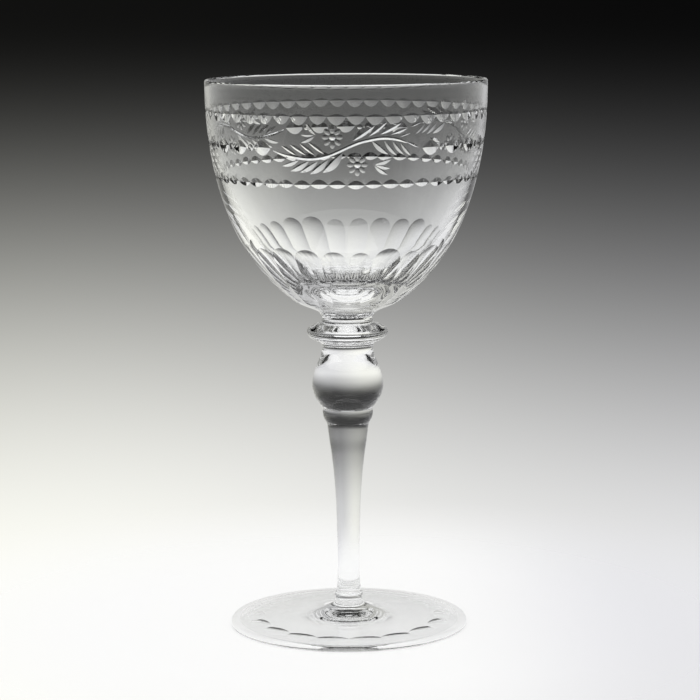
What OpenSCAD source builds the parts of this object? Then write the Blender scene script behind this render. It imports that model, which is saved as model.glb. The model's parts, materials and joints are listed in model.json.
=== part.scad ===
// A stemmed goblet of clear cut crystal: a blown bowl with wheel-cut ornament, a merese,
// a baluster knop, a drawn stem and a cut foot.
// Millimetres, +Z up, with the origin on the table at the centre of the foot.

/* [Bowl] */
// Outer diameter at the rim
rim_d = 90.4; // [84:0.2:98]
// Height of the bowl, from its joint with the merese to the rim
bowl_h = 77.4; // [72:0.2:86]
// Thickness of the wall at the rim
rim_wall = 1.2; // [1:0.1:1.5]
// Thickness of the wall, measured level, where the inside bends to its bottom
bend_wall = 3.2; // [2.8:0.1:3.6]
// Height above the joint at which the inside bends to its bottom
bend_h = 27.4; // [25:0.2:32]
// Solid glass under the inside of the bowl, measured from the joint
bowl_floor = 13; // [11:0.1:15]
// Fullness of the outside curve, where 2 is an ellipse
outer_fullness = 2.15; // [2.05:0.01:2.25]
// Diameter of the narrow neck under the bowl
neck_d = 16.4; // [14:0.2:18]
// Height of the hollow sweep from the neck into the bowl
neck_sweep = 6; // [5:0.1:6.6]

/* [Rings of olives] */
// Olive cuts in each ring
ring_olives = 48; // [36:2:56]
// Diameter of the wheel that cuts the rings
ring_wheel_d = 26; // [20:1:40]
// Drop from the rim to the sharp line of the upper ring
upper_ring_drop = 9.6; // [8:0.1:12]
// Height of an olive in the upper ring
upper_olive_h = 3.2; // [2.6:0.1:3.6]
// Share of that height above the sharp line
upper_olive_share = 0.3; // [0.25:0.05:0.5]
// Drop from the rim to the sharp line of the lower ring
lower_ring_drop = 30.6; // [28:0.1:33]
// Height of an olive in the lower ring
lower_olive_h = 3.2; // [2.6:0.1:4]
// Share of that height above the sharp line
lower_olive_share = 0.65; // [0.5:0.05:0.75]

/* [Chains of long olives] */
// Chains around the bowl
chains = 3; // [2:1:3]
// Olives in a chain
chain_olives = 5; // [3:1:6]
// Angle from one olive of a chain to the next
chain_pitch = 12; // [11:0.5:13]
// Drop from the rim to the chains
chain_drop = 19.5; // [18:0.1:21]
// Length of a chain olive
chain_olive_l = 6.6; // [5:0.1:7.4]
// Height of a chain olive
chain_olive_h = 4.8; // [3.6:0.1:5.4]
// Diameter of the wheel that cuts the chains
chain_wheel_d = 24; // [20:1:40]
// Diameter of a round dot between two olives
dot_d = 2.3; // [1.6:0.1:2.8]
// Depth of a dot
dot_depth = 0.5; // [0.3:0.05:0.7]

/* [Flutes] */
// Flutes around the lower bowl
flutes = 24; // [18:2:28]
// Drop from the rim to the arched tops of the flutes
flute_drop = 51.8; // [50:0.1:54]
// Height of the feet of the flutes above the bowl's joint
flute_foot_h = 7.2; // [6.8:0.1:8]
// Radius of the hollow across a flute
flute_hollow_r = 30; // [24:1:60]

/* [Merese] */
// Height of the merese with its two necks
merese_h = 9.8; // [8:0.1:13]
// Diameter over its edge
merese_d = 26.4; // [22:0.2:32]
// Height of its edge above the joint with the knop
merese_edge_h = 5.8; // [5:0.1:6.6]
// Radius of its rounded edge
merese_edge_r = 0.9; // [0.6:0.1:1.2]

/* [Knop] */
// Height of the knop
knop_h = 19.8; // [17:0.1:24]
// Largest diameter of the knop
knop_d = 23.2; // [20:0.2:28]
// Height of the widest place above the foot of the knop
knop_wide_h = 8.3; // [7:0.1:10]
// Diameter at its upper joint
knop_top_d = 16.6; // [14:0.2:18]
// Diameter at its lower joint
knop_low_d = 16.2; // [15:0.2:16.8]

/* [Ring under the knop] */
// Height of the ring
bead_h = 4; // [3:0.1:6]
// Largest diameter of the ring
bead_d = 16.8; // [16.4:0.2:18.4]

/* [Stem] */
// Length of the stem
stem_h = 55.2; // [40:0.2:75]
// Diameter at the top of the stem
stem_top_d = 14.2; // [12:0.2:15.4]
// Diameter at its thinnest
stem_thin_d = 7.1; // [6:0.1:9]
// Height of the thinnest place above the stem's lower end
stem_thin_h = 8; // [5:0.2:12]
// Diameter at its lower end
stem_low_d = 7.8; // [7.2:0.1:9]

/* [Base collar] */
// Height of the collar between stem and foot
collar_h = 5.9; // [5.4:0.1:8]
// Diameter over the collar's ring
collar_d = 9.4; // [9:0.1:11]
// Height of the collar's ring above the foot
collar_ring_h = 3.6; // [3.4:0.1:4]
// Diameter where the collar meets the foot
collar_low_d = 12; // [11:0.2:14]

/* [Foot] */
// Diameter of the foot
foot_d = 77.8; // [72:0.2:86]
// Height of the foot at its middle
foot_h = 5.9; // [5.2:0.1:7]
// Thickness of the foot at its edge
foot_edge = 1.8; // [1.4:0.1:2.4]
// Diameter of the raised middle of the foot
foot_swell_d = 29.4; // [26:0.2:34]
// Height of the foot where its raised middle begins
foot_swell_h = 3.6; // [3.2:0.1:4.2]
// Depth of the hollow under the foot at its middle
foot_hollow = 2; // [1.7:0.1:2.3]
// Depth of that hollow where the raised middle begins
foot_hollow_out = 1.6; // [1.2:0.1:1.7]
// Width of the flat ring that the goblet rests on
rest_w = 2; // [1:0.1:3]
// Olive cuts round the underside of the foot
foot_olives = 18; // [14:1:22]
// Distance from the axis to the middle of the foot's olives
foot_olive_r = 30.4; // [28:0.1:31]
// Width of a foot olive, measured outwards
foot_olive_w = 5.8; // [4:0.1:6.4]
// Diameter of the wheel that cuts the foot's olives
foot_wheel_d = 160; // [120:2:240]

/* [Hidden] */
$fn = 96;

plain_glass = [0.86, 0.92, 0.94, 0.6];
cut_glass = [0.78, 0.87, 0.92, 0.6];

// Straight steps in a curve, in a stretch of the wall, round an edge and round a wheel
curve_steps = 12;
wall_steps = 8;
edge_steps = 5;
wheel_steps = 3;

// How far a cutter reaches past its cut, as a share of the cut
reach_share = 1.6;

// Levels above the table
collar_z = foot_h;
stem_z = collar_z + collar_h;
bead_z = stem_z + stem_h;
knop_z = bead_z + bead_h;
merese_z = knop_z + knop_h;
bowl_z = merese_z + merese_h;
rim_z = bowl_z + bowl_h;
upper_ring_z = rim_z - upper_ring_drop;
lower_ring_z = rim_z - lower_ring_drop;
chain_z = rim_z - chain_drop;
flute_top_z = rim_z - flute_drop;
flute_low_z = bowl_z + flute_foot_h;

// The bowl's outside is a superellipse from its lowest point on the axis to the rim
rim_r = rim_d / 2;
rim_edge_r = rim_wall / 2;
rim_edge_z = rim_z - rim_edge_r;
low_point_share = 0.011;
outer_low_z = bowl_z + bowl_h * low_point_share;
inner_low_z = bowl_z + bowl_floor;
bend_z = bowl_z + bend_h;

// Its radius at a height, its height at a radius, and the inside's radius above the bend
function outer_r(z) = rim_r * sqrt(1 - pow((rim_edge_z - z) / (rim_edge_z - outer_low_z), outer_fullness));
function outer_z(r) =
    rim_edge_z - (rim_edge_z - outer_low_z) * pow(1 - pow(r / rim_r, 2), 1 / outer_fullness);
function inner_r(z) =
    outer_r(z) - rim_wall - (bend_wall - rim_wall) * pow((rim_edge_z - z) / (rim_edge_z - bend_z), 2);

// Angle by which the wall's outward normal dips below the level between two heights
function dip(low_z, high_z) = atan((outer_r(high_z) - outer_r(low_z)) / (high_z - low_z));

// Each ring of cuts lies in one straight band, which reaches this share of its height to each side
band_share = 0.8;

// A cubic curve from a to d, drawn towards b and c
function bend(a, b, c, d, steps = curve_steps) = [for (i = [0:steps]) let (t = i / steps, s = 1 - t)
    s * s * s * a + 3 * s * s * t * b + 3 * s * t * t * c + t * t * t * d];

// A round stretch of outline about a centre
function arc(centre, r, from, to) = [for (i = [0:edge_steps])
    let (turn = from + (to - from) * i / edge_steps) centre + r * [cos(turn), sin(turn)]];

// The working part of a mitre wheel, which cuts towards -X. Where its V meets the surface it
// is up_h high above its sharp edge and low_h below it, and the edge goes depth deep.
module mitre_wheel(wheel_d, cut_l, up_h, low_h, depth) {
    half_turn = reach_share * asin(cut_l / wheel_d);
    step_turn = 2 * half_turn / wheel_steps;
    edge_r = wheel_d / 2 / cos(step_turn / 2);
    back_r = edge_r - 2 * reach_share * depth;
    reach = 2 * reach_share;
    count = wheel_steps + 1;
    turns = [for (i = [0:wheel_steps]) 180 + half_turn - i * step_turn];
    row = [for (i = [0:wheel_steps]) i];
    polyhedron(points = concat(
        [for (turn = turns) [edge_r * cos(turn), edge_r * sin(turn), 0]],
        [for (turn = turns) [back_r * cos(turn), back_r * sin(turn), reach * up_h]],
        [for (turn = turns) [back_r * cos(turn), back_r * sin(turn), -reach * low_h]]
    ), faces = concat(
        [for (i = [1:wheel_steps]) [i - 1, i, count + i, count + i - 1]],
        [for (i = [1:wheel_steps]) [2 * count + i - 1, 2 * count + i, i, i - 1]],
        [[for (i = row) count + i], [for (i = row) 3 * count - 1 - i]],
        [[count, 2 * count, 0], [2 * count - 1, wheel_steps, 3 * count - 1]],
        [[count, 2 * count - 1, 3 * count - 1, 2 * count]]
    ));
}

// Depth at which a wheel leaves an olive of a given length on a wall of radius wall_r
function olive_depth(cut_l, wheel_d, wall_r) = pow(cut_l / 2, 2) / 2 * (2 / wheel_d + 1 / wall_r);

// An olive in the bowl's wall, with its sharp line at height z
module wall_olive(z, wheel_d, cut_l, cut_h, up_share) {
    low_z = z - cut_h * band_share;
    high_z = z + cut_h * band_share;
    depth = olive_depth(cut_l, wheel_d, outer_r(z));
    translate([(outer_r(low_z) + outer_r(high_z)) / 2, 0, z]) rotate([0, dip(low_z, high_z), 0])
        translate([wheel_d / 2 - depth, 0, 0])
            mitre_wheel(wheel_d, cut_l, cut_h * up_share, cut_h * (1 - up_share), depth);
}

module olive_ring(z, cut_h, up_share) {
    pitch_l = 2 * outer_r(z) * sin(180 / ring_olives);
    for (i = [0:ring_olives - 1]) rotate(360 * (i + 1 / 2) / ring_olives)
        wall_olive(z, ring_wheel_d, pitch_l, cut_h, up_share);
}

module chain() {
    for (i = [0:chain_olives - 1]) rotate(chain_pitch * (i - (chain_olives - 1) / 2))
        wall_olive(chain_z, chain_wheel_d, chain_olive_l, chain_olive_h, 1 / 2);
    dot_r = pow(dot_d / 2, 2) / 2 / dot_depth + dot_depth / 2;
    for (i = [1:chain_olives - 1]) rotate(chain_pitch * (i - chain_olives / 2))
        translate([outer_r(chain_z) + dot_r - dot_depth, 0, chain_z]) sphere(dot_r);
}

// A hollow flute in two straight passes, which end in an arch at the top and the foot
module flute() {
    length_z = flute_top_z - flute_low_z;
    for (pass = [0, 1]) {
        low_z = flute_low_z + pass * length_z / 2;
        high_z = low_z + length_z / 2;
        low_p = [outer_r(low_z), 0, low_z];
        high_p = [outer_r(high_z), 0, high_z];
        translate((low_p + high_p) / 2) rotate([0, dip(low_z, high_z), 0])
            translate([flute_hollow_r, 0, 0])
                cylinder(h = norm(high_p - low_p) * reach_share * 2, r = flute_hollow_r, center = true);
    }
}

// The revolved bowl. Its inside runs beside its outside, then bends to a flat bottom.
module bowl_blank() {
    bands = [[upper_ring_z, upper_olive_h], [chain_z, chain_olive_h], [lower_ring_z, lower_olive_h]];
    low_r = outer_r(bowl_z + neck_sweep);
    band_low_z = lower_ring_z - lower_olive_h * band_share;
    low_turn = asin(low_r / rim_r);
    band_turn = asin(outer_r(band_low_z) / rim_r);
    fluted = [for (i = [0:wall_steps - 1])
        let (r = rim_r * sin(low_turn + (band_turn - low_turn) * i / wall_steps)) [r, outer_z(r)]];
    banded = [for (i = [2:-1:0]) for (side = [-1, 1])
        let (z = bands[i][0] + side * bands[i][1] * band_share) [outer_r(z), z]];
    sweep_z = (outer_low_z + bowl_z + neck_sweep) / 2;
    sweep = bend([neck_d / 2, bowl_z], [neck_d / 2, sweep_z], [outer_r(sweep_z), sweep_z], fluted[0],
        wall_steps);
    rim = arc([rim_r - rim_edge_r, rim_edge_z], rim_edge_r, 0, 180);
    side = [for (i = [1:wall_steps]) let (z = rim_edge_z + (bend_z - rim_edge_z) * i / wall_steps)
        [inner_r(z), z]];
    bend_r = side[wall_steps - 1][0];
    turn_share = 0.58;
    turn_z = (bend_z - inner_low_z) * turn_share;
    turn_r = outer_r(bend_z) - outer_r(bend_z - turn_z);
    bottom = bend([bend_r, bend_z], [bend_r - turn_r, bend_z - turn_z], [bend_r / 2, inner_low_z],
        [0, inner_low_z], wall_steps);
    rotate_extrude() polygon(concat([[0, bowl_z]], sweep, [for (i = [1:wall_steps - 1]) fluted[i]], banded,
        rim, side, [for (i = [1:wall_steps]) bottom[i]]));
}

module bowl() color(cut_glass) difference() {
    bowl_blank();
    olive_ring(upper_ring_z, upper_olive_h, upper_olive_share);
    olive_ring(lower_ring_z, lower_olive_h, lower_olive_share);
    for (i = [0:chains - 1]) rotate(90 + 360 * i / chains) chain();
    for (i = [0:flutes - 1]) rotate(360 * (i + 1 / 2) / flutes) flute();
}

// A flat-sided disc between two short necks
module merese() color(plain_glass) {
    edge_z = merese_z + merese_edge_h;
    edge_x = merese_d / 2 - merese_edge_r;
    low_share = 0.3;
    high_share = 0.35;
    low_neck_z = merese_z + merese_edge_h * low_share;
    high_neck_z = bowl_z - (merese_h - merese_edge_h) * high_share;
    low = bend([knop_top_d / 2, merese_z], [knop_top_d / 2, low_neck_z], [(knop_top_d / 2 + edge_x) / 2,
        low_neck_z], [edge_x, edge_z - merese_edge_r]);
    high = bend([edge_x, edge_z + merese_edge_r], [(neck_d / 2 + edge_x) / 2, high_neck_z],
        [neck_d / 2, high_neck_z], [neck_d / 2, bowl_z]);
    edge = arc([edge_x, edge_z], merese_edge_r, -60, 60);
    rotate_extrude() polygon(concat([[0, merese_z]], low, edge, high, [[0, bowl_z]]));
}

// An inverted baluster: nearly a ball below its widest place and a long shoulder above
module knop() color(plain_glass) {
    wide_z = knop_z + knop_wide_h;
    round_share = 0.55;
    low_share = 0.1;
    shoulder_share = 0.33;
    shoulder_h = knop_h - knop_wide_h;
    low = bend([knop_low_d / 2, knop_z],
        [knop_low_d / 2 + (knop_d - knop_low_d) * low_share, knop_z + knop_wide_h / 4],
        [knop_d / 2, wide_z - knop_wide_h * round_share], [knop_d / 2, wide_z]);
    high = bend([knop_d / 2, wide_z], [knop_d / 2, wide_z + shoulder_h * shoulder_share],
        [knop_top_d / 2, merese_z - shoulder_h * shoulder_share], [knop_top_d / 2, merese_z]);
    rotate_extrude() polygon(concat([[0, knop_z]], low, [for (i = [1:curve_steps]) high[i]],
        [[0, merese_z]]));
}

// A soft round ring that gathers the knop into the stem
module bead() color(plain_glass) {
    low_share = 0.25;
    high_share = 0.7;
    side = bend([stem_top_d / 2, bead_z], [bead_d / 2, bead_z + bead_h * low_share],
        [bead_d / 2, bead_z + bead_h * high_share], [knop_low_d / 2, knop_z]);
    rotate_extrude() polygon(concat([[0, bead_z]], side, [[0, knop_z]]));
}

module stem() color(plain_glass) {
    thin_z = stem_z + stem_thin_h;
    taper_h = stem_h - stem_thin_h;
    hollow_share = 0.32;
    slow_share = 0.6;
    low = bend([stem_low_d / 2, stem_z], [stem_low_d / 2, stem_z], [stem_thin_d / 2, (stem_z + thin_z) / 2],
        [stem_thin_d / 2, thin_z]);
    high = bend([stem_thin_d / 2, thin_z], [stem_thin_d / 2, thin_z + taper_h * slow_share],
        [(stem_top_d + stem_thin_d) / 4, bead_z - taper_h * hollow_share], [stem_top_d / 2, bead_z]);
    rotate_extrude() polygon(concat([[0, stem_z]], low, [for (i = [1:curve_steps]) high[i]], [[0, bead_z]]));
}

// A small ring, and a hollow flare onto the foot
module collar() color(plain_glass) {
    ring_z = collar_z + collar_ring_h;
    ring_x = (collar_d + stem_low_d) / 4;
    ring_r = (collar_d - stem_low_d) / 4;
    flare_z = ring_z - ring_r * 2;
    flare = bend([collar_low_d / 2, collar_z], [collar_d / 2, collar_z], [stem_low_d / 2, (collar_z + flare_z) / 2],
        [stem_low_d / 2, flare_z]);
    union() {
        rotate_extrude() polygon(concat([[0, collar_z]], flare, [[stem_low_d / 2, stem_z], [0, stem_z]]));
        translate([0, 0, ring_z]) rotate_extrude() translate([ring_x, 0]) scale(2) circle(ring_r);
    }
}

// The foot's plate slopes up evenly above and below to its raised middle
module foot_blank() {
    swell_x = foot_swell_d / 2;
    edge_x = foot_d / 2 - foot_edge / 2;
    swell_share = 0.45;
    swell_slope = (foot_swell_h - foot_edge) / (edge_x - swell_x);
    edge = arc([edge_x, foot_edge / 2], foot_edge / 2, -90, 90);
    middle = bend([swell_x, foot_swell_h],
        [swell_x - swell_x * swell_share, foot_swell_h + swell_x * swell_share * swell_slope],
        [collar_low_d / 2, (foot_swell_h + foot_h) / 2], [collar_low_d / 2, foot_h]);
    hollow = bend([0, foot_hollow], [swell_x * swell_share, foot_hollow],
        [swell_x * swell_share, foot_hollow], [swell_x, foot_hollow_out]);
    rotate_extrude() polygon(concat(hollow, [[edge_x - rest_w, 0]], edge, middle, [[0, foot_h]]));
}

// The olives are cut into the sloping underside
module foot() color(cut_glass) {
    swell_x = foot_swell_d / 2;
    rest_x = foot_d / 2 - foot_edge / 2 - rest_w;
    slope = atan(foot_hollow_out / (rest_x - swell_x));
    mid_z = (rest_x - foot_olive_r) * tan(slope);
    pitch_l = 2 * foot_olive_r * sin(180 / foot_olives);
    depth = pow(pitch_l / 2, 2) / foot_wheel_d;
    difference() {
        foot_blank();
        for (i = [0:foot_olives - 1]) rotate(360 * (i + 1 / 2) / foot_olives - 90)
            translate([foot_olive_r, 0, mid_z]) rotate([0, slope + 90, 0])
                translate([foot_wheel_d / 2 - depth, 0, 0])
                    mitre_wheel(foot_wheel_d, pitch_l, foot_olive_w / 2, foot_olive_w / 2, depth);
    }
}

bowl();
merese();
knop();
bead();
stem();
collar();
foot();
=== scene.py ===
import json
import math
import random

import bpy
from mathutils import Matrix, Vector

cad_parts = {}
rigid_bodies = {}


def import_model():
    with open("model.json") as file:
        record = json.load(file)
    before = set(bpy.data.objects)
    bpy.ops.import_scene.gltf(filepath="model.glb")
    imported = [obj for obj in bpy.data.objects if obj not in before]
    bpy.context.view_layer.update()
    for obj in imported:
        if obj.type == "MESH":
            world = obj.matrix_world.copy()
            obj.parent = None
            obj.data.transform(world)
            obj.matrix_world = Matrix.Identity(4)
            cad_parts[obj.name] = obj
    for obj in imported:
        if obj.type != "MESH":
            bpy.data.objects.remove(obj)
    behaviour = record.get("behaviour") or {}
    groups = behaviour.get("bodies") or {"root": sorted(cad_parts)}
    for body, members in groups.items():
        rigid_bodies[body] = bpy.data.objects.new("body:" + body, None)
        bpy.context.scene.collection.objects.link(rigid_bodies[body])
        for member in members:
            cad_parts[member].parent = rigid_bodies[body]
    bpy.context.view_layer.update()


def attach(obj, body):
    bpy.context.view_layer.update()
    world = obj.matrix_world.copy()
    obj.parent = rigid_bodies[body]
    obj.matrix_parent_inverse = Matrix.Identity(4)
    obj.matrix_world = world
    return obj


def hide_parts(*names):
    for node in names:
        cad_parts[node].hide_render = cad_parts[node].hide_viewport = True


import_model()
mm = 0.001
weldReach = 0.002 * mm  # points nearer than this are merged
sameSpot = 0.01 * mm  # places nearer than this count as one
print("frame loaded")

# camera, at the height and distance the photograph was taken from
view = {
    "place": (0, -0.7979, 0.2116),
    "downDegrees": 8.636,
    "rollDegrees": 0.31,
    "lens": 127.9,
    "sensor": 36,
    "shiftX": 0.0036,
    "near": 0.05,
    "far": 20,
}
camera = bpy.data.objects.new("camera", bpy.data.cameras.new("camera"))
bpy.context.scene.collection.objects.link(camera)
camera.matrix_world = (
    Matrix.Translation(view["place"])
    @ Matrix.Rotation(math.radians(90 - view["downDegrees"]), 4, "X")
    @ Matrix.Rotation(math.radians(-view["rollDegrees"]), 4, "Z")
)
camera.data.lens = view["lens"]
camera.data.sensor_width = view["sensor"]
camera.data.shift_x = view["shiftX"]
camera.data.clip_start = view["near"]
camera.data.clip_end = view["far"]
bpy.context.scene.camera = camera
bpy.context.scene.view_settings.view_transform = "Standard"

# light passes many walls of glass before it is spent
lightPaths = bpy.context.scene.cycles
lightPaths.max_bounces = 32
lightPaths.transmission_bounces = 32
lightPaths.glossy_bounces = 12
lightPaths.transparent_max_bounces = 48
lightPaths.blur_glossy = 0.0


# small helpers for node trees
def addNode(tree, kind, **values):
    node = tree.nodes.new(kind)
    for key, value in values.items():
        setattr(node, key, value)
    return node


def wire(tree, source, target):
    tree.links.new(source, target)


def ramp(tree, source, fromLow, fromHigh, toLow, toHigh, smooth=True):
    node = addNode(tree, "ShaderNodeMapRange", interpolation_type="SMOOTHSTEP" if smooth else "LINEAR")
    node.inputs["From Min"].default_value = fromLow
    node.inputs["From Max"].default_value = fromHigh
    node.inputs["To Min"].default_value = toLow
    node.inputs["To Max"].default_value = toHigh
    wire(tree, source, node.inputs["Value"])
    return node.outputs["Result"]


def sums(tree, operation, first, second):
    node = addNode(tree, "ShaderNodeMath", operation=operation)
    for socket, value in zip(node.inputs, (first, second)):
        if isinstance(value, (int, float)):
            socket.default_value = value
        else:
            wire(tree, value, socket)
    return node.outputs[0]


def blendShaders(tree, share, first, second):
    node = addNode(tree, "ShaderNodeMixShader")
    wire(tree, share, node.inputs[0])
    wire(tree, first.outputs[0], node.inputs[1])
    wire(tree, second.outputs[0], node.inputs[2])
    return node


def emptyTree(owner):
    owner.use_nodes = True
    owner.node_tree.nodes.clear()
    return owner.node_tree


# 1 for a ray that comes from the camera, from a reflection or out of glass
def lookingRay(tree):
    path = addNode(tree, "ShaderNodeLightPath")
    looked = sums(tree, "MAXIMUM", path.outputs["Is Camera Ray"], path.outputs["Is Transmission Ray"])
    return sums(tree, "MAXIMUM", looked, path.outputs["Is Glossy Ray"])


# the same, and 0 as soon as the light has fallen on something matt
def lookedAt(tree):
    path = addNode(tree, "ShaderNodeLightPath")
    fresh = sums(tree, "LESS_THAN", path.outputs["Diffuse Depth"], 0.5)
    return sums(tree, "MULTIPLY", lookingRay(tree), fresh)


# world: white below, dark above with a wide soft box, and one plain level where it lights the object
# heights are degrees above the horizon
studio = {
    "whiteBelow": -14.0, "darkAbove": -4.0, "darkLevel": 0.0045,
    "boxFrom": 48.0, "boxTo": 60.0, "boxLevel": 1.1,
    "plainLevel": 0.86,
}


def sine(degrees):
    return math.sin(math.radians(degrees))


def makeStudio():
    world = bpy.data.worlds.new("studio")
    bpy.context.scene.world = world
    tree = emptyTree(world)
    direction = addNode(tree, "ShaderNodeTexCoord")
    split = addNode(tree, "ShaderNodeSeparateXYZ")
    wire(tree, direction.outputs["Generated"], split.inputs[0])
    up = split.outputs["Z"]
    paper = ramp(tree, up, sine(studio["darkAbove"]), sine(studio["whiteBelow"]), studio["darkLevel"], 1)
    box = ramp(tree, up, sine(studio["boxFrom"]), sine(studio["boxTo"]), 0, studio["boxLevel"])
    # the soft box shows in the glass as a reflection only
    path = addNode(tree, "ShaderNodeLightPath")
    box = sums(tree, "MULTIPLY", box, sums(tree, "LESS_THAN", path.outputs["Transmission Depth"], 0.5))
    seen = addNode(tree, "ShaderNodeBackground")
    wire(tree, sums(tree, "MAXIMUM", paper, box), seen.inputs["Color"])
    plain = addNode(tree, "ShaderNodeBackground")
    plain.inputs["Color"].default_value = (1, 1, 1, 1)
    plain.inputs["Strength"].default_value = studio["plainLevel"]
    end = addNode(tree, "ShaderNodeOutputWorld")
    wire(tree, blendShaders(tree, lookedAt(tree), plain, seen).outputs[0], end.inputs["Surface"])


makeStudio()
print("studio made")

# the glass: its colour wanders a little, and its skin has a faint haze and ripple
glass = {
    "ior": 1.53, "tint": (0.975, 0.985, 0.99, 1), "clear": (1, 1, 1, 1),
    "cloudScale": 35, "cloudDetail": 2, "rippleDetail": 1,
    # scale of the ripple, its depth in metres, and the haze
    "blown": (45, 0.00002, 0.01),
    "drawn": (60, 0.00001, 0.008),
}


def makeSkinGroup():
    group = bpy.data.node_groups.new("glassSkin", "ShaderNodeTree")
    for name in ("Ripple Scale", "Haze"):
        group.interface.new_socket(name, in_out="INPUT", socket_type="NodeSocketFloat")
    group.interface.new_socket("Color", in_out="OUTPUT", socket_type="NodeSocketColor")
    for name in ("Roughness", "Ripple"):
        group.interface.new_socket(name, in_out="OUTPUT", socket_type="NodeSocketFloat")
    start = addNode(group, "NodeGroupInput")
    end = addNode(group, "NodeGroupOutput")
    place = addNode(group, "ShaderNodeTexCoord")
    cloud = addNode(group, "ShaderNodeTexNoise")
    cloud.inputs["Scale"].default_value = glass["cloudScale"]
    cloud.inputs["Detail"].default_value = glass["cloudDetail"]
    wire(group, place.outputs["Object"], cloud.inputs["Vector"])
    tint = addNode(group, "ShaderNodeMix", data_type="RGBA")
    tint.inputs["A"].default_value = glass["tint"]
    tint.inputs["B"].default_value = glass["clear"]
    wire(group, cloud.outputs["Fac"], tint.inputs["Factor"])
    wire(group, tint.outputs["Result"], end.inputs["Color"])
    haze = sums(group, "MULTIPLY", cloud.outputs["Fac"], start.outputs["Haze"])
    wire(group, haze, end.inputs["Roughness"])
    ripple = addNode(group, "ShaderNodeTexNoise")
    ripple.inputs["Detail"].default_value = glass["rippleDetail"]
    wire(group, place.outputs["Object"], ripple.inputs["Vector"])
    wire(group, start.outputs["Ripple Scale"], ripple.inputs["Scale"])
    wire(group, ripple.outputs["Fac"], end.inputs["Ripple"])
    return group


skinGroup = makeSkinGroup()


def makeGlass(name, rippleScale, rippleDepth, haze):
    material = bpy.data.materials.new(name)
    material.use_nodes = True
    tree = material.node_tree
    shader = tree.nodes["Principled BSDF"]
    shader.inputs["IOR"].default_value = glass["ior"]
    shader.inputs["Transmission Weight"].default_value = 1
    skin = addNode(tree, "ShaderNodeGroup", node_tree=skinGroup)
    skin.inputs["Ripple Scale"].default_value = rippleScale
    skin.inputs["Haze"].default_value = haze
    wire(tree, skin.outputs["Color"], shader.inputs["Base Color"])
    wire(tree, skin.outputs["Roughness"], shader.inputs["Roughness"])
    bump = addNode(tree, "ShaderNodeBump")
    bump.inputs["Strength"].default_value = 1
    bump.inputs["Distance"].default_value = rippleDepth
    wire(tree, skin.outputs["Ripple"], bump.inputs["Height"])
    wire(tree, bump.outputs["Normal"], shader.inputs["Normal"])
    return material


# where two pieces are fused, no surface is left to see
def makeFusedJoint():
    material = bpy.data.materials.new("fusedJoint")
    tree = emptyTree(material)
    through = addNode(tree, "ShaderNodeBsdfTransparent")
    end = addNode(tree, "ShaderNodeOutputMaterial")
    wire(tree, through.outputs[0], end.inputs["Surface"])
    return material


blownGlass = makeGlass("blownCrystal", *glass["blown"])
stemGlass = makeGlass("stemCrystal", *glass["drawn"])
fusedGlass = makeFusedJoint()
print("glass mixed")


# modelling helpers
def deselectAll():
    if bpy.context.object and bpy.context.object.mode != "OBJECT":
        bpy.ops.object.mode_set(mode="OBJECT")
    bpy.ops.object.select_all(action="DESELECT")


def pick(piece):
    deselectAll()
    piece.select_set(True)
    bpy.context.view_layer.objects.active = piece


def editMode(kind="VERT"):
    bpy.ops.object.mode_set(mode="EDIT")
    bpy.ops.mesh.select_mode(type=kind)


def objectMode():
    bpy.ops.object.mode_set(mode="OBJECT")


def selectVerts(piece, test):
    objectMode()
    for v in piece.data.vertices:
        v.select = test(v.co)
    for e in piece.data.edges:
        e.select = all(piece.data.vertices[i].select for i in e.vertices)
    for f in piece.data.polygons:
        f.select = all(piece.data.vertices[i].select for i in f.vertices)
    bpy.ops.object.mode_set(mode="EDIT")


def moveSelected(piece, matrix):
    objectMode()
    for v in piece.data.vertices:
        if v.select:
            v.co = matrix @ v.co
    piece.data.update()
    bpy.ops.object.mode_set(mode="EDIT")


# an outline in millimetres, extruded point by point and spun round the axis
def spinOutline(name, outline, steps):
    deselectAll()
    bpy.ops.mesh.primitive_plane_add(size=mm)
    piece = bpy.context.object
    piece.name = piece.data.name = name
    editMode()
    bpy.ops.mesh.merge(type="CENTER")
    bpy.ops.transform.translate(value=(outline[0][0] * mm, 0, outline[0][1] * mm))
    for last, new in zip(outline, outline[1:]):
        step = ((new[0] - last[0]) * mm, 0, (new[1] - last[1]) * mm)
        bpy.ops.mesh.extrude_region_move(TRANSFORM_OT_translate={"value": step})
    bpy.ops.mesh.select_all(action="SELECT")
    bpy.ops.mesh.spin(steps=steps, angle=math.tau, center=(0, 0, 0), axis=(0, 0, 1), use_auto_merge=False)
    bpy.ops.mesh.select_all(action="SELECT")
    bpy.ops.mesh.remove_doubles(threshold=weldReach)
    bpy.ops.mesh.normals_make_consistent(inside=False)
    objectMode()
    return piece


def superellipse(z, lowZ, topZ, wideR, fullness):
    return wideR * math.sqrt(max(0, 1 - ((topZ - z) / (topZ - lowZ)) ** fullness))


def bezier(a, b, c, d, steps):
    points = []
    for i in range(steps + 1):
        t = i / steps
        s = 1 - t
        shares = (s ** 3, 3 * s * s * t, 3 * s * t * t, t ** 3)
        points.append(tuple(sum(share * p[k] for share, p in zip(shares, (a, b, c, d))) for k in (0, 1)))
    return points


# a smooth line through measured points, as a Catmull-Rom curve
def throughPoints(points, steps):
    line = []
    for i in range(len(points) - 1):
        before = points[max(i - 1, 0)]
        after = points[min(i + 2, len(points) - 1)]
        for j in range(steps):
            t = j / steps
            spot = []
            for p, a, b, n in zip(before, points[i], points[i + 1], after):
                pull = 2 * p - 5 * a + 4 * b - n
                bend = 3 * a - p - 3 * b + n
                spot.append(0.5 * (2 * a + (b - p) * t + pull * t * t + bend * t ** 3))
            line.append(tuple(spot))
    line.append(tuple(points[-1]))
    return line


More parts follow.
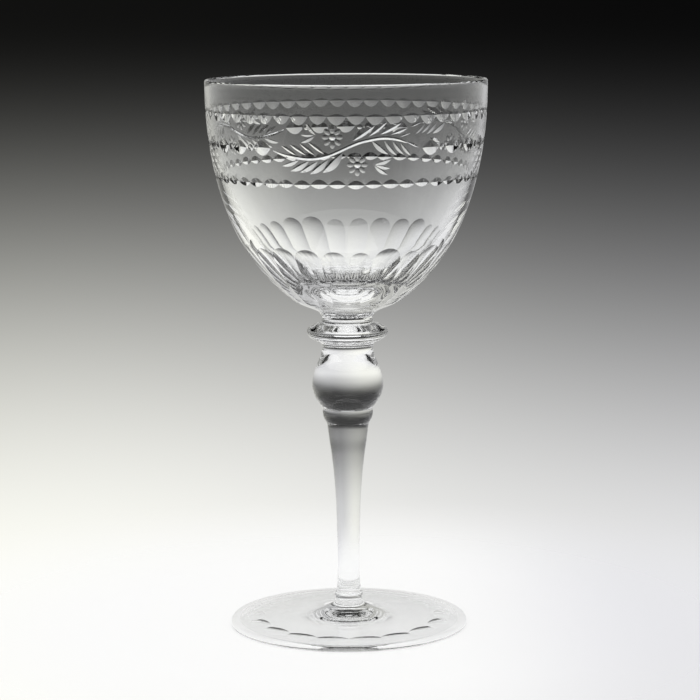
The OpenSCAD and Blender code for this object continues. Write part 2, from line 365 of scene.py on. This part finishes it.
def smoothPiece(piece, degrees):
    pick(piece)
    bpy.ops.object.shade_smooth_by_angle(angle=math.radians(degrees), keep_sharp_edges=False)


# every piece rides the one body; its flat end faces at the weld levels are fused to the next piece
def dress(piece, node, material, weldLevels):
    piece.data.materials.clear()
    piece.data.materials.append(material)
    piece.data.materials.append(fusedGlass)
    for face in piece.data.polygons:
        level = abs(face.normal.z) > 0.999
        if level and any(abs(face.center.z - z * mm) < sameSpot for z in weldLevels):
            face.material_index = 1
    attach(piece, "root")
    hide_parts(node)


# cutting helpers: the tools wait on a shelf of their own until the piece is cut
cutterShelf = bpy.data.collections.new("cutters")
bpy.context.scene.collection.children.link(cutterShelf)
turnedMark = bpy.data.materials.new("turnedMark")
cutMark = bpy.data.materials.new("cutMark")


def toShelf(cutter):
    for shelf in list(cutter.users_collection):
        shelf.objects.unlink(cutter)
    cutterShelf.objects.link(cutter)


def copyCutter(cutter, matrix):
    twin = cutter.copy()
    twin.data = cutter.data.copy()
    twin.data.transform(matrix)
    cutterShelf.objects.link(twin)
    return twin


# a mitre wheel lying flat, its sharp edge in the XY plane, its facets that steep in degrees
def mitreWheel(name, radius, halfH, steep, sides):
    deselectAll()
    bpy.ops.mesh.primitive_cylinder_add(vertices=sides, radius=radius * mm, depth=2 * halfH * mm)
    wheel = bpy.context.object
    wheel.name = name
    editMode()
    bpy.ops.mesh.select_all(action="SELECT")
    bpy.ops.mesh.bisect(plane_co=(0, 0, 0), plane_no=(0, 0, 1))
    selectVerts(wheel, lambda co: abs(co.z) > halfH * mm / 2)
    shrink = 1 - math.tan(math.radians(steep)) * halfH / radius
    bpy.ops.transform.resize(value=(shrink, shrink, 1))
    objectMode()
    toShelf(wheel)
    return wheel


# a section drawn along a line of places, one extrusion to each
def drawBar(name, corners, places):
    deselectAll()
    bpy.ops.mesh.primitive_circle_add(vertices=corners, radius=mm, fill_type="NGON")
    bar = bpy.context.object
    bar.name = name
    bar.data.transform(places[0])
    editMode("FACE")
    bpy.ops.mesh.select_all(action="SELECT")
    for last, new in zip(places, places[1:]):
        bpy.ops.mesh.extrude_region_move()
        moveSelected(bar, new @ last.inverted())
    bpy.ops.mesh.select_all(action="SELECT")
    bpy.ops.mesh.normals_make_consistent(inside=False)
    objectMode()
    toShelf(bar)
    return bar


# an egg-shaped stone, so high that it leaves an oval hollow of that size and depth
def hollowTool(name, halfL, halfW, depth, high=2.0, segments=56, rings=36):
    long = math.sqrt(halfL ** 2 / 2 / depth * high)
    wide = math.sqrt(halfW ** 2 / 2 / depth * high)
    deselectAll()
    bpy.ops.mesh.primitive_uv_sphere_add(segments=segments, ring_count=rings, radius=mm)
    stone = bpy.context.object
    stone.name = name
    lift = Matrix.Translation((0, 0, (high - depth) * mm))
    stone.data.transform(lift @ Matrix.Diagonal((long, wide, high, 1)))
    toShelf(stone)
    return stone


# how deep a wheel bites into a round wall for a cut of that length
def biteDepth(cutL, wheelR, wallR):
    return (cutL / 2) ** 2 / 2 * (1 / wheelR + 1 / wallR)


# cut faces carry the second material slot while the cuts are made, which tells them from turned ones
def cutAway(piece):
    for mark in (turnedMark, cutMark):
        piece.data.materials.append(mark)
    for cutter in cutterShelf.objects:
        cutter.data.materials.clear()
        for mark in (turnedMark, cutMark):
            cutter.data.materials.append(mark)
        cutter.data.polygons.foreach_set("material_index", [1] * len(cutter.data.polygons))
    pick(piece)
    cut = piece.modifiers.new("cuts", "BOOLEAN")
    cut.operation = "DIFFERENCE"
    cut.operand_type = "COLLECTION"
    cut.collection = cutterShelf
    cut.solver = "MANIFOLD"
    bpy.ops.object.modifier_apply(modifier=cut.name)
    for cutter in list(cutterShelf.objects):
        mesh = cutter.data
        bpy.data.objects.remove(cutter)
        bpy.data.meshes.remove(mesh)


# the outline of every cut stays crisp, however shallow the cut is
def sharpenCuts(piece):
    pick(piece)
    editMode("FACE")
    bpy.ops.mesh.select_all(action="DESELECT")
    piece.active_material_index = 1
    bpy.ops.object.material_slot_select()
    bpy.ops.mesh.region_to_loop()
    bpy.ops.mesh.mark_sharp()
    bpy.ops.mesh.select_all(action="DESELECT")
    objectMode()


# the bowl; lengths here and below are in millimetres, bearings in degrees from the front
bowl = {
    "rimR": 45.2, "rimZ": 178.0, "rimWall": 1.2, "rimStep": 15,
    "baseZ": 100.6, "lowShare": 0.86, "fullness": 2.15,
    "neckR": 8.2, "sweep": 6.0, "sweepSteps": 14,
    "bendZ": 128.0, "bendWall": 4.4, "bendPull": 0.58,
    "floor": 11.5, "floorPull": 0.5, "floorSteps": 34,
    "spinSteps": 288, "cell": 1.5, "innerCell": 1.95, "smoothBelow": 9,
    # height of the sharp line, steepness of the facets, lean of the wheel and its radius
    "rings": [(168.4, 20.2, 9.8, 11.0), (147.4, 20.3, -3.8, 9.0)],
    "ringCount": 48, "ringWheelHalf": 3.6, "ringWheelSides": 512,
    "chainMiddles": (60, 180, 300), "chainZ": 158.5, "chainPitch": 12.0, "chainCount": 5,
    "chainL": 6.6, "chainSteep": 18.5, "chainWheelR": 8.0, "chainWheelHalf": 6, "chainWheelSides": 384,
    "dotR": 1.15, "dotDepth": 0.5,
    "fluteCount": 24, "fluteTopZ": 126.2, "fluteLowZ": 106.6, "fluteR": 30.0,
    # length of the arched top, how fast it deepens and how fast the bar comes down to the wall before it
    "fluteRise": 3.2, "fluteArch": 1.6, "fluteLead": 1.0, "fluteEntry": 1.2,
    # length of the run-out at the foot, and the share of its depth by which the bar leaves the wall
    "fluteRunOut": 1.2, "fluteLift": 0.3,
    "fluteOverlap": 1.04, "fluteThick": 2.0, "fluteSteps": 26, "fluteCorners": 96,
}
# how far the cutter's hand strays, the depth as a share of itself
stray = {
    "depth": 0.08, "height": 0.12, "turn": 1.5,
    "ringBearing": 0.25, "ringLean": 0.5, "chainBearing": 0.3, "fluteBearing": 0.35, "fluteHeight": 0.3,
}
cutterHand = random.Random(11)
rimEdge = bowl["rimWall"] / 2
rimEdgeZ = bowl["rimZ"] - rimEdge
outerLowZ = bowl["baseZ"] + bowl["lowShare"]


def shake(amount):
    return cutterHand.uniform(-amount, amount)


def outerAt(z):
    return superellipse(z, outerLowZ, rimEdgeZ, bowl["rimR"], bowl["fullness"])


# the wall thickens from the rim down to the bend
def innerAt(z):
    share = (rimEdgeZ - z) / (rimEdgeZ - bowl["bendZ"])
    return outerAt(z) - (bowl["rimWall"] + (bowl["bendWall"] - bowl["rimWall"]) * share ** 2)


# points along a curve, spaced evenly along its length
def evenCurve(radiusAt, lowZ, highZ, spacing, fineSteps=4000, slack=1e-9):
    fine = []
    for i in range(fineSteps + 1):
        z = lowZ + (highZ - lowZ) * (1 - math.cos(math.pi / 2 * i / fineSteps))
        fine.append((radiusAt(z), z))
    length = sum(math.dist(a, b) for a, b in zip(fine, fine[1:]))
    count = max(2, round(length / spacing))
    points = [fine[0]]
    run = 0
    for a, b in zip(fine, fine[1:]):
        run += math.dist(a, b)
        if run >= length / count * len(points) - slack and len(points) < count:
            points.append(b)
    points.append(fine[-1])
    return points


def bowlOutline():
    baseZ, bendZ = bowl["baseZ"], bowl["bendZ"]
    sweepTop = baseZ + bowl["sweep"]
    sweepZ = (outerLowZ + sweepTop) / 2
    neck = bezier((bowl["neckR"], baseZ), (bowl["neckR"], sweepZ), (outerAt(sweepZ), sweepZ),
                  (outerAt(sweepTop), sweepTop), bowl["sweepSteps"])
    outside = evenCurve(outerAt, sweepTop, rimEdgeZ, bowl["cell"])
    rim = []
    for angle in range(bowl["rimStep"], 180, bowl["rimStep"]):
        turn = math.radians(angle)
        rim.append((bowl["rimR"] - rimEdge + rimEdge * math.cos(turn), rimEdgeZ + rimEdge * math.sin(turn)))
    inside = evenCurve(innerAt, bendZ, rimEdgeZ, bowl["innerCell"])[::-1]
    bendR = inside[-1][0]
    lean = (inside[-2][0] - inside[-1][0]) / (inside[-2][1] - inside[-1][1])
    floorZ = baseZ + bowl["floor"]
    reach = (bendZ - floorZ) * bowl["bendPull"]
    bottom = bezier((bendR, bendZ), (bendR - lean * reach, bendZ - reach),
                    (bendR * bowl["floorPull"], floorZ), (0, floorZ), bowl["floorSteps"])
    return [(0, baseZ)] + neck + outside[1:] + rim + inside + bottom[1:]


# the wall's own frame at a bearing and a height: across, up along the wall, out
def onWall(bearing, z, out=0.0, near=0.05):
    slope = (outerAt(z + near) - outerAt(z - near)) / (2 * near)
    a = math.radians(bearing)
    outward = Vector((math.sin(a), -math.cos(a), 0))
    across = Vector((math.cos(a), math.sin(a), 0))
    up = (outward * slope + Vector((0, 0, 1))).normalized()
    normal = across.cross(up).normalized()
    point = outward * outerAt(z) + Vector((0, 0, z)) + normal * out
    return Matrix((
        (across.x, up.x, normal.x, point.x * mm),
        (across.y, up.y, normal.y, point.y * mm),
        (across.z, up.z, normal.z, point.z * mm),
        (0, 0, 0, 1)))


# a wheel laid on the wall: turned from level along its cut, and leant to one side of it
def layWheel(wheel, radius, depth, bearing, z, turn=0.0, lean=0.0):
    sink = Matrix.Translation((0, 0, -depth * mm))
    seat = onWall(bearing, z) @ Matrix.Rotation(math.radians(turn), 4, "Z") @ sink
    stand = Matrix.Rotation(math.radians(lean), 4, "X") @ Matrix.Translation((0, 0, radius * mm))
    return copyCutter(wheel, seat @ stand @ Matrix.Rotation(math.radians(90), 4, "X"))


# two rings of olives, whose sharp ends meet
def cutRings():
    count = bowl["ringCount"]
    for z, steep, lean, wheelR in bowl["rings"]:
        wallR = outerAt(z)
        depth = biteDepth(2 * wallR * math.sin(math.pi / count), wheelR, wallR)
        wheel = mitreWheel("ringWheel", wheelR, bowl["ringWheelHalf"], steep, bowl["ringWheelSides"])
        for i in range(count):
            bite = depth * (1 + shake(stray["depth"]))
            bearing = 360 * (i + 0.5) / count + shake(stray["ringBearing"])
            seatZ = z + shake(stray["height"])
            layWheel(wheel, wheelR, bite, bearing, seatZ, lean=lean + shake(stray["ringLean"]))
        bpy.data.objects.remove(wheel)


# chains of long olives with a round dot between each two
def cutChains():
    z, wheelR, pitch, count = bowl["chainZ"], bowl["chainWheelR"], bowl["chainPitch"], bowl["chainCount"]
    depth = biteDepth(bowl["chainL"], wheelR, outerAt(z))
    wheel = mitreWheel("chainWheel", wheelR, bowl["chainWheelHalf"], bowl["chainSteep"],
                       bowl["chainWheelSides"])
    dot = hollowTool("dot", bowl["dotR"], bowl["dotR"], bowl["dotDepth"])
    for middle in bowl["chainMiddles"]:
        for i in range(count):
            bite = depth * (1 + shake(stray["depth"]))
            bearing = middle + pitch * (i - (count - 1) / 2) + shake(stray["chainBearing"])
            seatZ = z + shake(stray["height"])
            layWheel(wheel, wheelR, bite, bearing, seatZ, turn=shake(stray["turn"]))
        for i in range(count - 1):
            copyCutter(dot, onWall(middle + pitch * (i - (count - 2) / 2), z))
    bpy.data.objects.remove(wheel)
    bpy.data.objects.remove(dot)


# a flute is a flat oval bar drawn down the wall, biting deeper from its arched top
def cutFlutes():
    top, low, r, thick = bowl["fluteTopZ"], bowl["fluteLowZ"], bowl["fluteR"], bowl["fluteThick"]
    lie = Matrix.Rotation(math.radians(-90), 4, "X") @ Matrix.Diagonal((math.sqrt(r * thick), thick, 1, 1))
    start = top + bowl["fluteLead"]
    places = []
    for i in range(bowl["fluteSteps"] + 1):
        z = start - (start - low) * i / bowl["fluteSteps"]
        wallR = outerAt(z)
        width = 2 * wallR * math.tan(math.pi / bowl["fluteCount"])
        full = biteDepth(width, r, wallR) * bowl["fluteOverlap"]
        drop = (top - z) / bowl["fluteRise"]
        share = 1 - math.exp(-drop * bowl["fluteArch"]) if drop > 0 else drop * bowl["fluteEntry"]
        depth = full * min(share, (z - low) / bowl["fluteRunOut"] - bowl["fluteLift"])
        places.append(onWall(0, z, thick - depth) @ lie)
    bar = drawBar("fluteBar", bowl["fluteCorners"], places)
    for k in range(bowl["fluteCount"]):
        bearing = math.tau * (k + 0.5) / bowl["fluteCount"] + math.radians(shake(stray["fluteBearing"]))
        lift = Matrix.Translation((0, 0, shake(stray["fluteHeight"]) * mm))
        copyCutter(bar, lift @ Matrix.Rotation(bearing, 4, "Z"))
    bpy.data.objects.remove(bar)


# sprays: a curved stalk with leaflets, two daisies and two sprigs, three times round the bowl
spray = {
    "middles": (0, 120, 240),
    # the stalk's line as bearings and heights
    "stalk": [
        (-30.6, 157.9), (-25.6, 156.6), (-19.1, 155.8), (-14.9, 155.6), (-10.8, 155.9), (-6.8, 156.7),
        (-2.8, 158.0), (1.2, 159.4), (5.1, 160.6), (9.0, 161.3), (13.0, 161.8), (17.1, 161.8),
        (21.3, 161.2), (24.8, 160.2),
    ],
    "stalkW": 0.78, "stalkDepth": 0.46, "stalkSteps": 4, "tipShare": 0.25, "tipPoints": 6,
    # base and tip of each leaflet as bearing and height, then the side that the wheel leans to
    "leaves": [
        (-20.3, 156.5, -26.8, 159.4, -1), (-16.3, 156.6, -23.1, 159.9, -1), (-12.6, 156.6, -18.9, 160.2, -1),
        (-8.9, 157.0, -15.2, 160.6, -1), (-25.8, 156.3, -31.0, 157.9, -1), (-19.4, 155.2, -27.0, 153.2, 1),
        (-15.2, 155.0, -23.5, 151.7, 1), (-11.5, 155.0, -19.3, 151.3, 1), (-7.4, 155.4, -15.0, 151.0, 1),
        (-1.6, 157.5, -9.8, 151.5, 1), (2.7, 161.0, 10.9, 165.5, -1), (8.8, 162.4, 16.1, 166.6, -1),
        (13.2, 162.8, 22.1, 166.3, -1), (17.6, 162.7, 24.9, 164.7, -1), (21.4, 162.0, 26.1, 163.2, -1),
        (10.0, 161.3, 16.9, 156.8, 1), (15.2, 160.9, 20.5, 156.5, 1), (18.6, 160.8, 23.5, 156.7, 1),
        (22.0, 160.2, 26.7, 156.3, 1), (24.4, 160.5, 30.2, 158.6, -1),
    ],
    "leafWheelR": 17.0, "leafWheelSides": 384, "leafSteep": 32, "leafHalf": 2.0,
    "leafLean": 12, "leafWallR": 60,
    "sprigs": [
        (-12.2, 163.0, -16.1, 166.6, 1), (-12.8, 162.8, -18.3, 163.0, 1), (-12.4, 162.6, -18.3, 160.5, 1),
        (11.4, 153.8, 18.3, 155.3, 1), (11.6, 153.6, 18.1, 152.6, 1), (11.4, 153.4, 17.0, 150.6, 1),
    ],
    "sprigWheelR": 12.0, "sprigWheelSides": 256,
    "daisies": [(-5.5, 162.3), (4.4, 153.8)],
    "petals": 8, "petalR": 2.4, "petalL": 1.4, "petalW": 0.92, "petalDepth": 0.2,
    "heartR": 1.1, "heartDepth": 0.6,
}


def layLeaf(wheel, wheelR, middle, leaf):
    baseBearing, baseZ, tipBearing, tipZ, side = leaf
    z = (baseZ + tipZ) / 2
    run = math.radians(tipBearing - baseBearing) * outerAt(z)
    rise = tipZ - baseZ
    depth = biteDepth(math.hypot(run, rise), wheelR, spray["leafWallR"]) * (1 + shake(stray["depth"]))
    turn = math.degrees(math.atan2(rise, run)) + shake(stray["turn"])
    upSide = -1 if run < 0 else 1  # which side of the cut looks up the wall
    bearing = middle + (baseBearing + tipBearing) / 2
    layWheel(wheel, wheelR, depth, bearing, z, turn, side * upSide * spray["leafLean"])


# a three-cornered bar drawn along the stalk: its point goes in, its flat back stays outside
def cutStalk(path, middle):
    halfSide, halfHigh = 0.866, 0.75  # of a triangle whose corners lie on a circle of radius 1
    places = []
    for i, (bearing, z) in enumerate(path):
        before = path[max(i - 1, 0)]
        after = path[min(i + 1, len(path) - 1)]
        turn = math.atan2(after[1] - before[1], math.radians(after[0] - before[0]) * outerAt(z))
        taper = min(1, spray["tipShare"] + min(i, len(path) - 1 - i) / spray["tipPoints"])
        side = spray["stalkW"] * taper / halfSide / halfHigh
        deep = spray["stalkDepth"] * taper / halfHigh
        section = Matrix((
            (0, 0, 1, 0),
            (side, 0, 0, 0),
            (0, -deep, 0, deep * (1 - halfHigh) * mm),
            (0, 0, 0, 1)))
        places.append(onWall(middle + bearing, z) @ Matrix.Rotation(turn, 4, "Z") @ section)
    drawBar("stalkBar", 3, places)


def cutSprays():
    steep, half = spray["leafSteep"], spray["leafHalf"]
    leafWheel = mitreWheel("leafWheel", spray["leafWheelR"], half, steep, spray["leafWheelSides"])
    sprigWheel = mitreWheel("sprigWheel", spray["sprigWheelR"], half, steep, spray["sprigWheelSides"])
    petal = hollowTool("petal", spray["petalL"], spray["petalW"], spray["petalDepth"])
    heart = hollowTool("heart", spray["heartR"], spray["heartR"], spray["heartDepth"])
    path = throughPoints(spray["stalk"], spray["stalkSteps"])
    for middle in spray["middles"]:
        cutStalk(path, middle)
        for leaf in spray["leaves"]:
            layLeaf(leafWheel, spray["leafWheelR"], middle, leaf)
        for leaf in spray["sprigs"]:
            layLeaf(sprigWheel, spray["sprigWheelR"], middle, leaf)
        for bearing, z in spray["daisies"]:
            spot = onWall(middle + bearing, z)
            for i in range(spray["petals"]):
                turn = Matrix.Rotation(math.tau * i / spray["petals"] + math.pi / 2, 4, "Z")
                copyCutter(petal, spot @ turn @ Matrix.Translation((spray["petalR"] * mm, 0, 0)))
            copyCutter(heart, spot)
    for tool in (petal, heart, leafWheel, sprigWheel):
        bpy.data.objects.remove(tool)


goblet = spinOutline("cutBowl", bowlOutline(), bowl["spinSteps"])
print("bowl turned", len(goblet.data.polygons))
cutRings()
cutChains()
cutFlutes()
cutSprays()
cutAway(goblet)
print("bowl cut", len(goblet.data.polygons))
smoothPiece(goblet, bowl["smoothBelow"])
sharpenCuts(goblet)
dress(goblet, "bowl", blownGlass, (bowl["baseZ"],))

# merese, knop, ring, stem and collar, each an outline from its lower weld to its upper one
turnedPieces = {
    "mereseDisc": {
        "node": "merese",
        "outline": [
            (8.3, 90.8), (8.35, 91.8), (8.6, 92.6), (9.2, 93.3), (10.6, 93.9), (11.9, 94.6), (12.75, 95.4),
            (13.12, 96.2), (13.18, 96.9), (12.9, 97.6), (12.2, 98.2), (10.6, 98.9), (9.3, 99.4), (8.5, 99.9),
            (8.2, 100.6),
        ],
    },
    "balusterKnop": {
        "node": "knop",
        "outline": [
            (8.1, 71.0), (8.15, 71.6), (8.6, 72.3), (9.5, 73.4), (10.35, 74.8), (11.05, 76.4), (11.5, 78.2),
            (11.6, 79.6), (11.45, 81.0), (11.0, 82.8), (10.45, 84.4), (9.95, 85.8), (9.4, 87.2), (8.9, 88.6),
            (8.5, 89.8), (8.3, 90.8),
        ],
    },
    "gatherRing": {
        "node": "bead",
        "outline": [
            (7.1, 67.0), (7.45, 67.5), (7.85, 68.3), (8.1, 69.2), (8.2, 70.1), (8.15, 70.6), (8.1, 71.0),
        ],
    },
    "stemShaft": {
        "node": "stem",
        "outline": [
            (3.9, 11.8), (3.75, 13.4), (3.62, 15.5), (3.55, 18.5), (3.56, 22.5), (3.62, 27), (3.74, 32),
            (3.9, 37), (4.12, 42), (4.45, 47), (4.9, 52), (5.5, 57), (6.05, 60.7), (6.4, 63.4), (6.7, 65.6),
            (7.1, 67.0),
        ],
    },
    "footCollar": {
        "node": "collar",
        "outline": [
            (6.0, 5.9), (5.4, 6.1), (4.85, 6.6), (4.45, 7.4), (4.3, 8.2), (4.42, 8.8), (4.7, 9.3),
            (4.72, 9.8), (4.45, 10.3), (4.05, 10.7), (3.92, 11.2), (3.9, 11.8),
        ],
    },
}
turning = {"curveSteps": 6, "spinSteps": 160, "smoothBelow": 30}
for name, plan in turnedPieces.items():
    side = throughPoints(plan["outline"], turning["curveSteps"])
    lowZ, highZ = side[0][1], side[-1][1]
    piece = spinOutline(name, [(0, lowZ)] + side + [(0, highZ)], turning["spinSteps"])
    smoothPiece(piece, turning["smoothBelow"])
    dress(piece, plan["node"], stemGlass, (lowZ, highZ))
    print(name, "turned", len(piece.data.polygons))

# foot, thin and hollow underneath, so that top and underside run side by side
foot = {
    "edge": [
        (38.2, 0.0), (38.55, 0.08), (38.8, 0.28), (38.9, 0.6), (38.85, 0.95), (38.65, 1.3), (38.3, 1.6),
        (37.8, 1.82), (37.0, 1.97), (36.0, 2.05),
    ],
    "top": [(33, 2.24), (27, 2.68), (20, 3.2), (14.7, 3.62), (10.5, 4.26), (7.6, 5.1), (6.0, 5.9)],
    "under": [(0, 2.0), (8, 1.9), (14.7, 1.6), (20, 1.3), (27, 0.8), (33, 0.35), (35.8, 0.0)],
    "curveSteps": 8, "spinSteps": 288, "smoothBelow": 8,
    "olives": 18, "oliveR": 30.4, "oliveW": 5.8, "oliveDepth": 0.12,
    "stoneHigh": 1.0, "stoneSegments": 96, "stoneRings": 64,
}
footUnder = throughPoints(foot["under"], foot["curveSteps"])
footRestR = foot["under"][-1][0]
footTopZ = foot["top"][-1][1]


# shallow hollow olives round the foot, ground into its underside
def cutFootOlives():
    r = foot["oliveR"]
    near = min(range(1, len(footUnder) - 1), key=lambda i: abs(footUnder[i][0] - r))
    x1, z1 = footUnder[near - 1]
    x2, z2 = footUnder[near + 1]
    slope = math.atan2(z2 - z1, x2 - x1)
    middle = Matrix.Translation((r * mm, 0, (z1 + (r - x1) * math.tan(slope)) * mm))
    seat = middle @ Matrix.Rotation(-slope, 4, "Y") @ Matrix.Rotation(math.pi, 4, "X")
    halfL = r * math.sin(math.pi / foot["olives"])
    stone = hollowTool("footStone", foot["oliveW"] / 2, halfL, foot["oliveDepth"], foot["stoneHigh"],
                       foot["stoneSegments"], foot["stoneRings"])
    for i in range(foot["olives"]):
        bearing = math.tau * (i + 0.5) / foot["olives"] - math.pi / 2
        copyCutter(stone, Matrix.Rotation(bearing, 4, "Z") @ seat)
    bpy.data.objects.remove(stone)


footOutline = footUnder + throughPoints(foot["edge"] + foot["top"], foot["curveSteps"]) + [(0, footTopZ)]
base = spinOutline("cutFoot", footOutline, foot["spinSteps"])
cutFootOlives()
cutAway(base)
smoothPiece(base, foot["smoothBelow"])
sharpenCuts(base)
# the inner edge of the ring that the foot stands on stays crisp too
selectVerts(base, lambda co: abs(math.hypot(co.x, co.y) - footRestR * mm) < sameSpot and co.z < sameSpot)
bpy.ops.mesh.mark_sharp()
objectMode()
dress(base, "foot", blownGlass, (footTopZ,))
print("foot cut", len(base.data.polygons))

# table, pale with painted shade that makes it a little greyer to the right, fading out before its edge
table = {
    "radius": 0.24, "sides": 96, "fadeFrom": 0.07, "fadeTo": 0.2, "glow": 0.78,
    "pale": (0.97, 0.97, 0.965, 1), "paintedShadeGrey": (0.8, 0.8, 0.83, 1), "paintedShadeFrom": 0.02, "paintedShadeTo": 0.11,
}


def makeTable():
    material = bpy.data.materials.new("paleTable")
    tree = emptyTree(material)
    place = addNode(tree, "ShaderNodeTexCoord")
    split = addNode(tree, "ShaderNodeSeparateXYZ")
    wire(tree, place.outputs["Object"], split.inputs[0])
    # painted shade: greyer to the right, in the glow and the matt colour alike
    shade = addNode(tree, "ShaderNodeMix", data_type="RGBA")
    shade.inputs["A"].default_value = table["pale"]
    shade.inputs["B"].default_value = table["paintedShadeGrey"]
    right = ramp(tree, split.outputs["X"], table["paintedShadeFrom"], table["paintedShadeTo"], 0, 1)
    wire(tree, right, shade.inputs["Factor"])
    matte = addNode(tree, "ShaderNodeBsdfDiffuse")
    wire(tree, shade.outputs["Result"], matte.inputs["Color"])
    glow = addNode(tree, "ShaderNodeEmission")
    wire(tree, shade.outputs["Result"], glow.inputs["Color"])
    lit = blendShaders(tree, sums(tree, "MULTIPLY", lookingRay(tree), table["glow"]), matte, glow)
    reach = addNode(tree, "ShaderNodeVectorMath", operation="LENGTH")
    wire(tree, place.outputs["Object"], reach.inputs[0])
    fade = ramp(tree, reach.outputs["Value"], table["fadeFrom"], table["fadeTo"], 0, 1)
    gone = addNode(tree, "ShaderNodeBsdfTransparent")
    end = addNode(tree, "ShaderNodeOutputMaterial")
    wire(tree, blendShaders(tree, fade, lit, gone).outputs[0], end.inputs["Surface"])
    return material


deselectAll()
bpy.ops.mesh.primitive_circle_add(vertices=table["sides"], radius=table["radius"], fill_type="TRIFAN")
floor = bpy.context.object
floor.name = "tableTop"
floor.data.materials.append(makeTable())
print("table laid")

# paper backdrop round the table, its glow painted light and shade, dark above and white at the foot; from
# outside it isn't seen
backdrop = {
    "radius": 0.55, "sides": 192, "lowZ": -0.3, "highZ": 0.6,
    # painted shade of the glow: white at whiteZ, falling to dark at darkZ along that curve
    "darkZ": 0.199, "whiteZ": -0.13, "curve": 1.45, "dark": 0.0044, "white": 0.9,
    # painted light and shade from left to right, with its warmer tint to the left
    "leftX": -0.19, "rightX": 0.19, "sideShade": 0.3, "sideFade": 0.7, "leftBlue": 0.935, "rightBlue": 1.01,
    # the painted reflection of the room: its light up to a height, and the painted shade that makes it dark
    # low down in front
    "roomLevel": 0.5, "roomHigh": 0.015, "roomFrom": 0.22, "roomTo": 0.3,
    "gloomZ": -0.02, "gloomTopZ": 0.06, "gloomLevel": 0.9, "sideY": -0.2, "frontY": -0.45,
}


def makePaintedBackdrop():
    material = bpy.data.materials.new("backdropPaintedLight")
    tree = emptyTree(material)
    place = addNode(tree, "ShaderNodeTexCoord")
    split = addNode(tree, "ShaderNodeSeparateXYZ")
    wire(tree, place.outputs["Object"], split.inputs[0])
    across, deep, height = (split.outputs[name] for name in "XYZ")
    # painted shade: the glow falls from white low down to dark high up
    rise = ramp(tree, height, backdrop["darkZ"], backdrop["whiteZ"], 0, 1)
    level = sums(tree, "POWER", rise, backdrop["curve"])
    level = sums(tree, "ADD", sums(tree, "MULTIPLY", level, backdrop["white"]), backdrop["dark"])
    # painted light: a little lighter and warmer to the left, most where it is dark
    edges = (backdrop["leftX"], backdrop["rightX"])
    side = ramp(tree, across, *edges, backdrop["sideShade"], -backdrop["sideShade"])
    weight = sums(tree, "SUBTRACT", 1, sums(tree, "MULTIPLY", level, backdrop["sideFade"]))
    level = sums(tree, "MULTIPLY", level, sums(tree, "ADD", 1, sums(tree, "MULTIPLY", side, weight)))
    blue = ramp(tree, across, *edges, backdrop["leftBlue"], backdrop["rightBlue"], False)
    # painted reflection: only reflected rays see the room round the paper, and painted shade makes it dark
    # low down in front of the table
    path = addNode(tree, "ShaderNodeLightPath")
    reflected = sums(tree, "MINIMUM", path.outputs["Glossy Depth"], 1)
    room = ramp(tree, height, backdrop["roomTo"], backdrop["roomFrom"],
                backdrop["roomHigh"], backdrop["roomLevel"])
    shade = sums(tree, "MAXIMUM", level, sums(tree, "MULTIPLY", room, reflected))
    front = ramp(tree, deep, backdrop["sideY"], backdrop["frontY"], 0, 1)
    under = ramp(tree, height, backdrop["gloomTopZ"], backdrop["gloomZ"], 0, backdrop["gloomLevel"])
    gloom = sums(tree, "MULTIPLY", sums(tree, "MULTIPLY", front, under), reflected)
    shade = sums(tree, "MULTIPLY", shade, sums(tree, "SUBTRACT", 1, gloom))
    colour = addNode(tree, "ShaderNodeCombineColor")
    wire(tree, shade, colour.inputs["Red"])
    wire(tree, shade, colour.inputs["Green"])
    wire(tree, sums(tree, "MULTIPLY", shade, blue), colour.inputs["Blue"])
    glow = addNode(tree, "ShaderNodeEmission")
    wire(tree, colour.outputs["Color"], glow.inputs["Color"])
    geometry = addNode(tree, "ShaderNodeNewGeometry")
    inside = sums(tree, "SUBTRACT", 1, geometry.outputs["Backfacing"])
    seen = sums(tree, "MULTIPLY", lookedAt(tree), inside)
    gone = addNode(tree, "ShaderNodeBsdfTransparent")
    end = addNode(tree, "ShaderNodeOutputMaterial")
    wire(tree, blendShaders(tree, seen, gone, glow).outputs[0], end.inputs["Surface"])
    return material


deselectAll()
bpy.ops.mesh.primitive_cylinder_add(
    vertices=backdrop["sides"], radius=backdrop["radius"], depth=backdrop["highZ"] - backdrop["lowZ"],
    end_fill_type="NOTHING", location=(0, 0, (backdrop["lowZ"] + backdrop["highZ"]) / 2))
bpy.ops.object.transform_apply(location=True, rotation=False, scale=False)
wallPaper = bpy.context.object
wallPaper.name = "backdropWall"
editMode("FACE")
bpy.ops.mesh.select_all(action="SELECT")
bpy.ops.mesh.flip_normals()
objectMode()
wallPaper.data.materials.append(makePaintedBackdrop())
print("backdrop hung")

# soft box overhead
lamp = {"height": 1.3, "size": 0.9, "watts": 3.2}
softBox = bpy.data.objects.new("softBox", bpy.data.lights.new("softBox", "AREA"))
bpy.context.scene.collection.objects.link(softBox)
softBox.data.size = lamp["size"]
softBox.data.energy = lamp["watts"]
softBox.location = (0, 0, lamp["height"])
